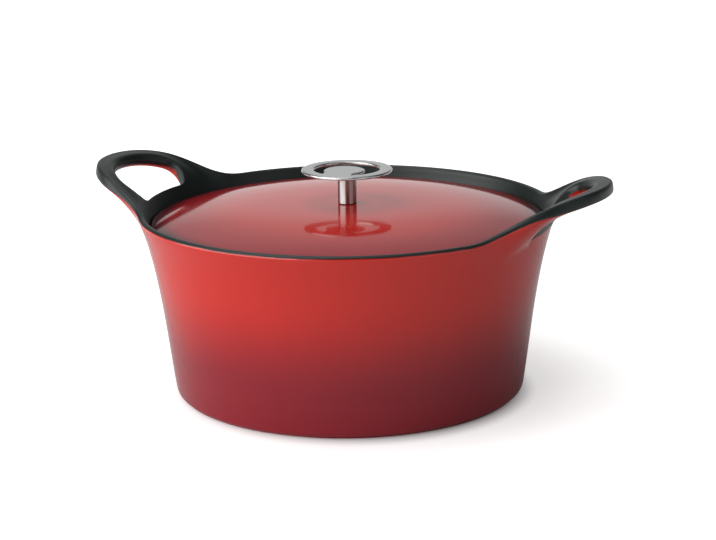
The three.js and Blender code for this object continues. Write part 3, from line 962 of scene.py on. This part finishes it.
# %% [markdown]
# ## Pillar, gasket and fixing
# A turned pillar carries the ring. It stands on a thin gasket, and a screw from under the lid pulls it
# tight over a flat washer and a split lock washer. All come off a lathe, so all are turned here too. The
# slot of the screw and the split of the washer could be modelled in, but a block and a Boolean modifier
# cut them clean on flat faces.

# %% Pillar and gasket
STEM_RADIUS = 0.00585
STEM_EDGE = 0.0003
SPIGOT_RADIUS = 0.003
SPIGOT_LENGTH = 0.0011
SCREW_GRIP = 0.011
GASKET_THICKNESS = 0.0004
GASKET_GAP = 0.00005
GASKET_EDGE = 0.0002
GASKET_BORE_EDGE = 0.0001
STEM_COLUMNS = 96

gasket_bottom = lid_top + GASKET_GAP
stem_bottom = gasket_bottom + GASKET_THICKNESS
stem_top = ring_bottom - SEAT_GAP / 3
bore_top = stem_bottom + SCREW_GRIP + SEAT_GAP
stem_profile = rounded(
    [
        (bolt_hole, bore_top, 0),
        (bolt_hole, stem_bottom, STEM_EDGE),
        (STEM_RADIUS, stem_bottom, STEM_EDGE),
        (STEM_RADIUS, stem_top, STEM_EDGE),
        (SPIGOT_RADIUS, stem_top, 0),
        (SPIGOT_RADIUS, stem_top + SPIGOT_LENGTH, 0),
    ]
)
stem = turned("steel_knob_pillar", stem_profile, STEM_COLUMNS)
bpy.ops.object.shade_smooth_by_angle(angle=SHARP_ANGLE)
gasket_outer = STEM_RADIUS - STEM_EDGE
gasket_top = stem_bottom - GASKET_GAP
gasket_profile = rounded(
    [
        (bolt_hole, gasket_bottom, GASKET_BORE_EDGE),
        (gasket_outer, gasket_bottom, GASKET_EDGE),
        (gasket_outer, gasket_top, GASKET_EDGE),
        (bolt_hole, gasket_top, GASKET_BORE_EDGE),
    ]
)
gasket = turned("pillar_gasket", gasket_profile, STEM_COLUMNS, ends="ring")
print(f"pillar {1000 * (stem_top - stem_bottom):.1f} mm high")

# %% Washers and screw
WASHER_RADIUS = 0.0066
WASHER_THICKNESS = 0.0012
LOCK_WASHER_RADIUS = 0.0054
LOCK_WASHER_THICKNESS = 0.0015
LOCK_WASHER_SPLIT = 0.0012
SCREW_HEAD_RADIUS = 0.0056
SCREW_HEAD_HEIGHT = 0.0034
SCREW_FLAT_SHARE = 0.75  # of the head's radius, inside its bevel
SCREW_BEVEL = 0.001
SCREW_ROUND = 0.0005
SLOT_WIDTH = 0.0013
SLOT_DEPTH = 0.0014
EDGE_BREAK = 0.0002
FIXING_COLUMNS = 64


def block_cut(piece, size, place):
    """Cuts a block out of a piece."""
    bpy.ops.object.select_all(action="DESELECT")
    bpy.ops.mesh.primitive_cube_add(size=1, location=place)
    block = bpy.context.object
    block.scale = size
    bpy.ops.object.transform_apply()
    bpy.context.view_layer.objects.active = piece
    piece.select_set(True)
    bpy.ops.object.modifier_add(type="BOOLEAN")
    cut = piece.modifiers[-1]
    cut.operation = "DIFFERENCE"
    cut.object = block
    bpy.ops.object.modifier_apply(modifier=cut.name)
    bpy.data.objects.remove(block)
    bpy.ops.object.shade_smooth_by_angle(angle=SHARP_ANGLE)


def washer(name, outer, bottom, top):
    """A flat ring round the screw, with its edges broken."""
    corners = [(bolt_hole, bottom), (outer, bottom), (outer, top), (bolt_hole, top)]
    profile = rounded([(r, z, EDGE_BREAK) for r, z in corners])
    return turned(name, profile, FIXING_COLUMNS, ends="ring")


flat_top = lid_under - SEAT_GAP
lock_top = flat_top - WASHER_THICKNESS - SEAT_GAP
head_top = lock_top - LOCK_WASHER_THICKNESS - SEAT_GAP
head_bottom = head_top - SCREW_HEAD_HEIGHT
screw_tip = stem_bottom + SCREW_GRIP
flat_washer = washer("fixing_flat_washer", WASHER_RADIUS, flat_top - WASHER_THICKNESS, flat_top)
lock_washer = washer("fixing_lock_washer", LOCK_WASHER_RADIUS, lock_top - LOCK_WASHER_THICKNESS, lock_top)
split_size = (2 * LOCK_WASHER_RADIUS, LOCK_WASHER_SPLIT, 4 * LOCK_WASHER_THICKNESS)
block_cut(lock_washer, split_size, (LOCK_WASHER_RADIUS, 0, lock_top))
screw_profile = rounded(
    [
        (SCREW_HEAD_RADIUS / 2, head_bottom, 0),
        (SCREW_FLAT_SHARE * SCREW_HEAD_RADIUS, head_bottom, SCREW_BEVEL),
        (SCREW_HEAD_RADIUS, head_bottom + SCREW_BEVEL, SCREW_ROUND),
        (SCREW_HEAD_RADIUS, head_top, EDGE_BREAK),
        (SCREW_RADIUS, head_top, EDGE_BREAK),
        (SCREW_RADIUS, screw_tip, SCREW_ROUND),
        (SCREW_RADIUS / 2, screw_tip, 0),
    ]
)
screw = turned("fixing_screw", screw_profile, FIXING_COLUMNS)
block_cut(screw, (3 * SCREW_HEAD_RADIUS, SLOT_WIDTH, 2 * SLOT_DEPTH), (0, 0, head_bottom))
print("fixing pieces:", flat_washer.name, lock_washer.name, screw.name)

# %% [markdown]
# ## Finishes: helpers
# Colours are written as sRGB hex values, as a paint chart gives them, and turned to the linear values
# that shaders use. One function adds a node with its settings and links. The kinds that come up again and
# again, such as noise, sums and blends, could be written out each time, but short functions that call it
# keep each finish readable.

# %% Node helpers


def linear(hex_colour):
    """An sRGB hex colour as linear RGBA."""
    channels = [int(hex_colour[i : i + 2], 16) / 255 for i in (1, 3, 5)]
    return tuple(c / 12.92 if c <= 0.04045 else ((c + 0.055) / 1.055) ** 2.4 for c in channels) + (1.0,)


def grey(level):
    """A linear grey, from 0 to 1."""
    return level, level, level, 1.0


def set_inputs(tree, node, inputs):
    """Sets inputs by name or number: a socket is linked, and anything else is set as the value."""
    for name, value in inputs.items():
        if isinstance(value, bpy.types.NodeSocket):
            tree.links.new(value, node.inputs[name])
        else:
            node.inputs[name].default_value = value


def add_node(tree, kind, inputs=None, **settings):
    """Adds a node with its settings and its inputs."""
    node = tree.nodes.new(kind)
    for name, value in settings.items():
        setattr(node, name, value)
    set_inputs(tree, node, inputs or {})
    return node


def new_material(name):
    """A new material, its node tree, its shader and its Object coordinates."""
    material = bpy.data.materials.new(name)
    material.use_nodes = True
    tree = material.node_tree
    shader = tree.nodes["Principled BSDF"]
    coords = add_node(tree, "ShaderNodeTexCoord").outputs["Object"]
    return material, tree, shader, coords


def noise(tree, coords, size_mm, detail):
    """Noise whose features are about this many millimetres wide."""
    inputs = {"Vector": coords, "Scale": 1000 / size_mm, "Detail": detail}
    return add_node(tree, "ShaderNodeTexNoise", inputs).outputs["Fac"]


def calc(tree, operation, *values):
    """The result of one sum, on numbers or sockets."""
    return add_node(tree, "ShaderNodeMath", dict(enumerate(values)), operation=operation).outputs[0]


def vector_calc(tree, operation, *values):
    """The outputs of one sum on vectors: Vector and Value."""
    return add_node(tree, "ShaderNodeVectorMath", dict(enumerate(values)), operation=operation).outputs


def blend(tree, share, first, second, blend_type="MIX"):
    """Two colours blended by a share."""
    inputs = {0: share, 6: first, 7: second}
    return add_node(tree, "ShaderNodeMix", inputs, data_type="RGBA", blend_type=blend_type).outputs[2]


def ray_kinds(tree):
    """Which rays come straight from the camera, and which a gloss has sent on."""
    rays = add_node(tree, "ShaderNodeLightPath").outputs
    return rays["Is Camera Ray"], calc(tree, "MAXIMUM", rays["Is Glossy Ray"], rays["Is Transmission Ray"])


def colour_ramp(tree, place, stops, interpolation="LINEAR"):
    """The colour at a place, between stops that are linear colours by place, in order."""
    node = add_node(tree, "ShaderNodeValToRGB", {0: place})
    node.color_ramp.interpolation = interpolation
    elements = node.color_ramp.elements
    while len(elements) < len(stops):
        elements.new(0.5)
    for element, (position, colour) in zip(elements, stops):
        element.position = position
        element.color = colour
    return node.outputs["Color"]


def bumps(tree, height, strength, distance):
    """The shading normal over a relief of this height in metres."""
    inputs = {"Height": height, "Strength": strength, "Distance": distance}
    return add_node(tree, "ShaderNodeBump", inputs).outputs["Normal"]


print("pure white as linear RGBA:", linear("#ffffff"))

# %% [markdown]
# ## Finish: vitreous enamel
# Enamel is glass, sprayed on as powder and fused to the iron. The red coat is glossy and deep, and is
# shaded by the sprayer from bright red to burgundy: down the wall on the pot, and out to the edge on the
# lid. At the lid's very edge it goes on to near black, which is painted shade and a painted reflection of
# the pot's black collar. The black coat is a thin satin glaze that lets the grain of the casting through.
# Two materials could meet at the glaze line, but only along the edges of faces. So one material holds
# both coats, and the distance from the glaze line that the mesh carries says which one shows.

# %% Enamel
RED = "#d42c23"
BURGUNDY = "#921a28"
LID_BURGUNDY = "#a51f27"
# Near black at the lid's very edge: painted shade and a painted reflection of the pot's black collar.
LID_EDGE_PAINTED_SHADE = "#4a0d18"
BLACK = ("#0a1514", "#13211f")  # in the hollows of the grain, and on its tops
# The red's shades, by height up the pot and by distance from the middle of the lid, in metres. The lid's
# last, near-black stop is painted shade and painted reflection, not a colour of the enamel.
POT_SHADES = ((0.027, BURGUNDY), (0.086, RED))
LID_SHADES = ((0.063, RED), (0.108, LID_BURGUNDY), (0.119, LID_EDGE_PAINTED_SHADE))
SPRAY_CLOUD_MM = 60
SPRAY_DRIFT = 0.006  # how far the clouds push the change of shade
GLAZE_BLUR = 0.00025
GLAZE_WANDER = 0.00035
GLAZE_WAVE_MM = 7
GRAIN_MM = 0.9
PEEL_MM = 9
PEEL_SHARE = 0.12  # height of the red's orange peel, against that of the casting's grain
GRAIN_HEIGHT = 0.0001
GRAIN_STRENGTH = 0.5
BLACK_ROUGHNESS = 0.42
RED_ROUGHNESS = 0.09
ENAMEL_IOR = 1.5


def enamel(name, across, shades):
    """Red and black enamel. across picks the axes along which the red is shaded."""
    material, tree, shader, coords = new_material(name)
    run = vector_calc(tree, "LENGTH", vector_calc(tree, "MULTIPLY", coords, across)["Vector"])["Value"]
    # Clouds of spray, a few centimetres wide, keep the change of shade from being a ruled line.
    spray = noise(tree, coords, SPRAY_CLOUD_MM, 3.0)
    drift = calc(tree, "MULTIPLY_ADD", spray, 2 * SPRAY_DRIFT, -SPRAY_DRIFT)
    stops = [(place, linear(shade)) for place, shade in shades]
    red = colour_ramp(tree, calc(tree, "ADD", run, drift), stops, "EASE")
    # The glaze line wanders a little, as a sprayed edge does.
    line = add_node(tree, "ShaderNodeAttribute", attribute_name="glaze_and_shade_line").outputs["Fac"]
    wobble = noise(tree, coords, GLAZE_WAVE_MM, 2.0)
    edge = calc(tree, "ADD", line, calc(tree, "MULTIPLY_ADD", wobble, 2 * GLAZE_WANDER, -GLAZE_WANDER))
    crossing = {"Value": edge, "From Min": -GLAZE_BLUR, "From Max": GLAZE_BLUR}
    red_share = add_node(tree, "ShaderNodeMapRange", crossing).outputs[0]
    # Grain of the casting under the black glaze, and the faint orange peel of the thick red one.
    grain = noise(tree, coords, GRAIN_MM, 3.0)
    peel = calc(tree, "MULTIPLY", noise(tree, coords, PEEL_MM, 1.0), PEEL_SHARE)
    relief = add_node(tree, "ShaderNodeMix", {0: red_share, 2: grain, 3: peel}).outputs[0]
    black = blend(tree, grain, *map(linear, BLACK))
    rough = add_node(tree, "ShaderNodeMix", {0: red_share, 2: BLACK_ROUGHNESS, 3: RED_ROUGHNESS})
    finish = {
        "Base Color": blend(tree, red_share, black, red),
        "Roughness": rough.outputs[0],
        "Normal": bumps(tree, relief, GRAIN_STRENGTH, GRAIN_HEIGHT),
        "IOR": ENAMEL_IOR,
    }
    set_inputs(tree, shader, finish)
    return material


pot_enamel = enamel("vitreous_enamel_pot", (0, 0, 1), POT_SHADES)
lid_enamel = enamel("vitreous_enamel_lid", (1, 1, 0), LID_SHADES)
print("enamels:", pot_enamel.name, lid_enamel.name)

# %% [markdown]
# ## Finish: steel and rubber
# The ring is stainless steel, blasted to a fine satin on its flat faces. The pillar is turned, and its
# fine grooves draw what it mirrors out into upright strips. The grooves could be modelled, but they are
# too fine to show one by one, so the shader's anisotropy gives the strips. The hidden fixing is plain
# zinc-plated steel, and the gasket is black silicone.

# %% Steel
# Each steel's two tones, as its clouds blend them.
SATIN = ("#bcbebd", "#c8cac9")
BRIGHT = ("#c6c8c7", "#cfd1d0")
ZINC = ("#a5a8aa", "#b6b9ba")
STEEL_CLOUD_MM = 9
STEEL_UNEVENNESS = 0.2  # how far the roughness strays from its mean
GRIT_HEIGHT = 0.00002
ACROSS_GROOVES = 0.25  # of a turn, from along the grooves to across them


def steel(name, colours, roughness, grit_mm, relief, turned_grooves=0.0):
    """Steel whose surface was worked by grit: fine relief, and a finish that isn't quite even."""
    material, tree, shader, coords = new_material(name)
    cloud = noise(tree, coords, STEEL_CLOUD_MM, 2.0)
    low, high = (roughness * (1 + side * STEEL_UNEVENNESS) for side in (-1, 1))
    rough = add_node(tree, "ShaderNodeMapRange", {"Value": cloud, "To Min": low, "To Max": high})
    finish = {
        "Base Color": blend(tree, cloud, *map(linear, colours)),
        "Roughness": rough.outputs[0],
        "Normal": bumps(tree, noise(tree, coords, grit_mm, 2.0), relief, GRIT_HEIGHT),
        "Metallic": 1.0,
    }
    set_inputs(tree, shader, finish)
    if turned_grooves:
        round_axis = add_node(tree, "ShaderNodeTangent", direction_type="RADIAL", axis="Z")
        grooves = {
            "Tangent": round_axis.outputs["Tangent"],
            "Anisotropic": turned_grooves,
            "Anisotropic Rotation": ACROSS_GROOVES,
        }
        set_inputs(tree, shader, grooves)
    return material


ring_steel = steel("satin_stainless_steel", SATIN, roughness=0.22, grit_mm=0.25, relief=0.2)
stem_steel = steel(
    "turned_stainless_steel", BRIGHT, roughness=0.38, grit_mm=0.4, relief=0.0, turned_grooves=1.0
)
fixing_steel = steel("zinc_plated_steel", ZINC, roughness=0.32, grit_mm=0.5, relief=0.3)
print("steels:", ring_steel.name, stem_steel.name, fixing_steel.name)

# %% Rubber
SILICONE = ("#1c1c1d", "#262627")
BLOOM_MM = 2
SILICONE_ROUGHNESS = 0.7

# Moulded silicone is matt, with a faint grey bloom.
silicone, tree, shader, coords = new_material("black_silicone")
bloom = noise(tree, coords, BLOOM_MM, 2.0)
tone = blend(tree, bloom, *map(linear, SILICONE))
set_inputs(tree, shader, {"Base Color": tone, "Roughness": SILICONE_ROUGHNESS})
print("rubber:", silicone.name)

# %% [markdown]
# ## Dressing the frame
# Each piece gets its finish and takes the place of one solid of the imported frame. The pot stays where it
# is, and all that is screwed to the lid lifts with it. The pieces could be joined to one mesh per body,
# but kept apart they keep their own names, finishes and places.

# %% Put the pieces on their bodies
dressing = (
    (pot, pot_enamel, "pot", "pot", "pot_enamel"),
    (lid, lid_enamel, "lid", "lid", "lid_enamel"),
    (ring, ring_steel, "lid", "knob_ring", "knob_steel"),
    (stem, stem_steel, "lid", "knob_stem", "stem_steel"),
    (gasket, silicone, "lid", "stem_gasket", "gasket_rubber"),
    (flat_washer, fixing_steel, "lid", "flat_washer", "fixing_steel"),
    (lock_washer, fixing_steel, "lid", "lock_washer", "fixing_steel"),
    (screw, fixing_steel, "lid", "knob_screw", "fixing_steel"),
)
for piece, material, body, node_name, slot_name in dressing:
    piece.data.materials.clear()
    piece.data.materials.append(material)
    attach(piece, body)
    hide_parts(node_name)
print(len(dressing), "pieces dressed")

# %% [markdown]
# ## Floor
# The pot stands on a white floor that runs on as the background. More light would whiten the floor, but
# wash out the pot too. So the floor adds white of its own, for the camera and the gloss alone. Less of it
# is added close to the pot, where little light gets in: that dip is painted shadow round the foot, on top
# of the shadow that the lights cast.

# %% Floor
FLOOR_SIZE = 14
FLOOR_TONES = ("#e6e6e6", "#e8e8e8")
FLOOR_CLOUD_MM = 400
# The white added for the camera, by the distance in metres from a point just in front of the pot's axis.
# Its dip near the pot paints the contact shadow, reaching further to the front and right.
FLOOR_WHITE_AND_SHADOW = ((0.098, 0.05), (0.1045, 0.28), (0.108, 0.42), (0.112, 0.57), (0.17, 0.72), (0.9, 0.95))
SHADOW_SHIFT_RIGHT = 0.004
SHADOW_SHIFT_FRONT = 0.009
GLOSS_WHITE = 0.6  # the white added for the gloss, which sets in between the next two distances
GLOSS_WHITE_NEAR = 0.3
GLOSS_WHITE_FAR = 0.7

bpy.ops.object.select_all(action="DESELECT")
bpy.ops.mesh.primitive_plane_add(size=FLOOR_SIZE, location=(0, 0, 0))
floor = bpy.context.object
floor.name = floor.data.name = "studio_floor"
floor_material, tree, shader, coords = new_material("white_studio_floor")
cloud = noise(tree, coords, FLOOR_CLOUD_MM, 1.0)
front = right.cross(Vector((0, 0, 1)))
middle = tuple(right * SHADOW_SHIFT_RIGHT + front * SHADOW_SHIFT_FRONT)
away = vector_calc(tree, "LENGTH", vector_calc(tree, "SUBTRACT", coords, middle)["Vector"])["Value"]
# Painted shadow: the ramp's low values near the pot darken the floor round its foot.
sweep = colour_ramp(tree, away, [(distance, grey(level)) for distance, level in FLOOR_WHITE_AND_SHADOW])
reach = {"Value": away, "From Min": GLOSS_WHITE_NEAR, "From Max": GLOSS_WHITE_FAR, "To Max": GLOSS_WHITE}
far_glow = add_node(tree, "ShaderNodeMapRange", reach, interpolation_type="SMOOTHSTEP").outputs[0]
from_camera, mirrored = ray_kinds(tree)
in_gloss = calc(tree, "MULTIPLY", mirrored, far_glow)
floor_finish = {
    "Base Color": blend(tree, cloud, *map(linear, FLOOR_TONES)),
    "Roughness": 1.0,
    "Specular IOR Level": 0.0,
    "Emission Color": grey(1.0),
    "Emission Strength": calc(tree, "MULTIPLY_ADD", from_camera, sweep, in_gloss),
}
set_inputs(tree, shader, floor_finish)
floor.data.materials.append(floor_material)
print(f"floor {FLOOR_SIZE} m wide")

# %% [markdown]
# ## The room that the gloss mirrors
# The room itself gives only a dim, even light. What makes the enamel look wet is what it mirrors: bright
# walls beside dark gaps. Panels could stand round the pot, but a world whose brightness depends on the
# direction does the same, with nothing in the way of the camera.

# %% Studio room
ROOM_FILL = 0.22
# How bright the walls are in a gloss, by their bearing in degrees to the right of the camera.
ROOM_SIDES = (
    (-180, 0.95),
    (-155, 1.0),
    (-138, 0.1),
    (-104, 0.1),
    (-94, 1.0),
    (-24, 1.0),
    (-12, 0.05),
    (22, 0.05),
    (32, 0.85),
    (66, 0.85),
    (78, 0.1),
    (135, 0.1),
    (160, 0.8),
    (180, 0.95),
)
# And by how high they are, as the sine of the elevation.
ROOM_HEIGHTS = ((0.0, 1.0), (0.2, 0.75), (0.3, 0.52), (0.45, 0.57))

world = bpy.data.worlds.new("white_room")
scene.world = world
world.use_nodes = True
tree = world.node_tree
fill = tree.nodes["Background"]
set_inputs(tree, fill, {"Color": grey(1.0), "Strength": ROOM_FILL})
direction = add_node(tree, "ShaderNodeTexCoord").outputs["Generated"]
height = add_node(tree, "ShaderNodeSeparateXYZ", {0: direction}).outputs["Z"]
wall_tone = colour_ramp(tree, height, [(sine, grey(level)) for sine, level in ROOM_HEIGHTS])
ahead = vector_calc(tree, "DOT_PRODUCT", direction, tuple(-view))["Value"]
aside = vector_calc(tree, "DOT_PRODUCT", direction, tuple(right))["Value"]
full_turn = {"Value": calc(tree, "ARCTAN2", aside, ahead), "From Min": -pi, "From Max": pi}
bearing = add_node(tree, "ShaderNodeMapRange", full_turn).outputs[0]
side_stops = [((degrees + 180) / 360, grey(level)) for degrees, level in ROOM_SIDES]
tone = blend(tree, 1.0, wall_tone, colour_ramp(tree, bearing, side_stops), "MULTIPLY")
seen_room = add_node(tree, "ShaderNodeBackground", {"Color": tone, "Strength": 1.0})
seen = calc(tree, "MAXIMUM", *ray_kinds(tree))
room = add_node(tree, "ShaderNodeMixShader", {0: seen, 1: fill.outputs[0], 2: seen_room.outputs[0]})
tree.links.new(room.outputs[0], tree.nodes["World Output"].inputs["Surface"])
print(f"the room lights the pot at {ROOM_FILL} of the white that the gloss sees")

# %% [markdown]
# ## Lights
# A wide soft box on the left makes the broad highlight and the soft shadow, and a weaker one overhead
# opens the shadows. Lamps without size would be simpler, but they would print hard points in the gloss
# and a hard shadow on the floor.

# %% Lights
LIGHT_TARGET = Vector((0, 0, 0.07))


def soft_light(name, place, size, power):
    """A soft box that faces the pot: its place, its two sides in metres and its power in watts."""
    data = bpy.data.lights.new(name, "AREA")
    data.shape = "RECTANGLE"
    data.size, data.size_y = size
    data.energy = power
    light = bpy.data.objects.new(name, data)
    scene.collection.objects.link(light)
    light.location = place
    light.rotation_euler = (LIGHT_TARGET - Vector(place)).to_track_quat("-Z", "Y").to_euler()
    return light


key_light = soft_light("key_left", place=(-1.05, -1.1, 0.55), size=(2.4, 1.0), power=22.5)
top_light = soft_light("overhead", place=(-0.4, -0.1, 1.6), size=(1.2, 1.2), power=9)
scene.view_settings.view_transform = "Standard"
print("lights:", key_light.name, top_light.name)
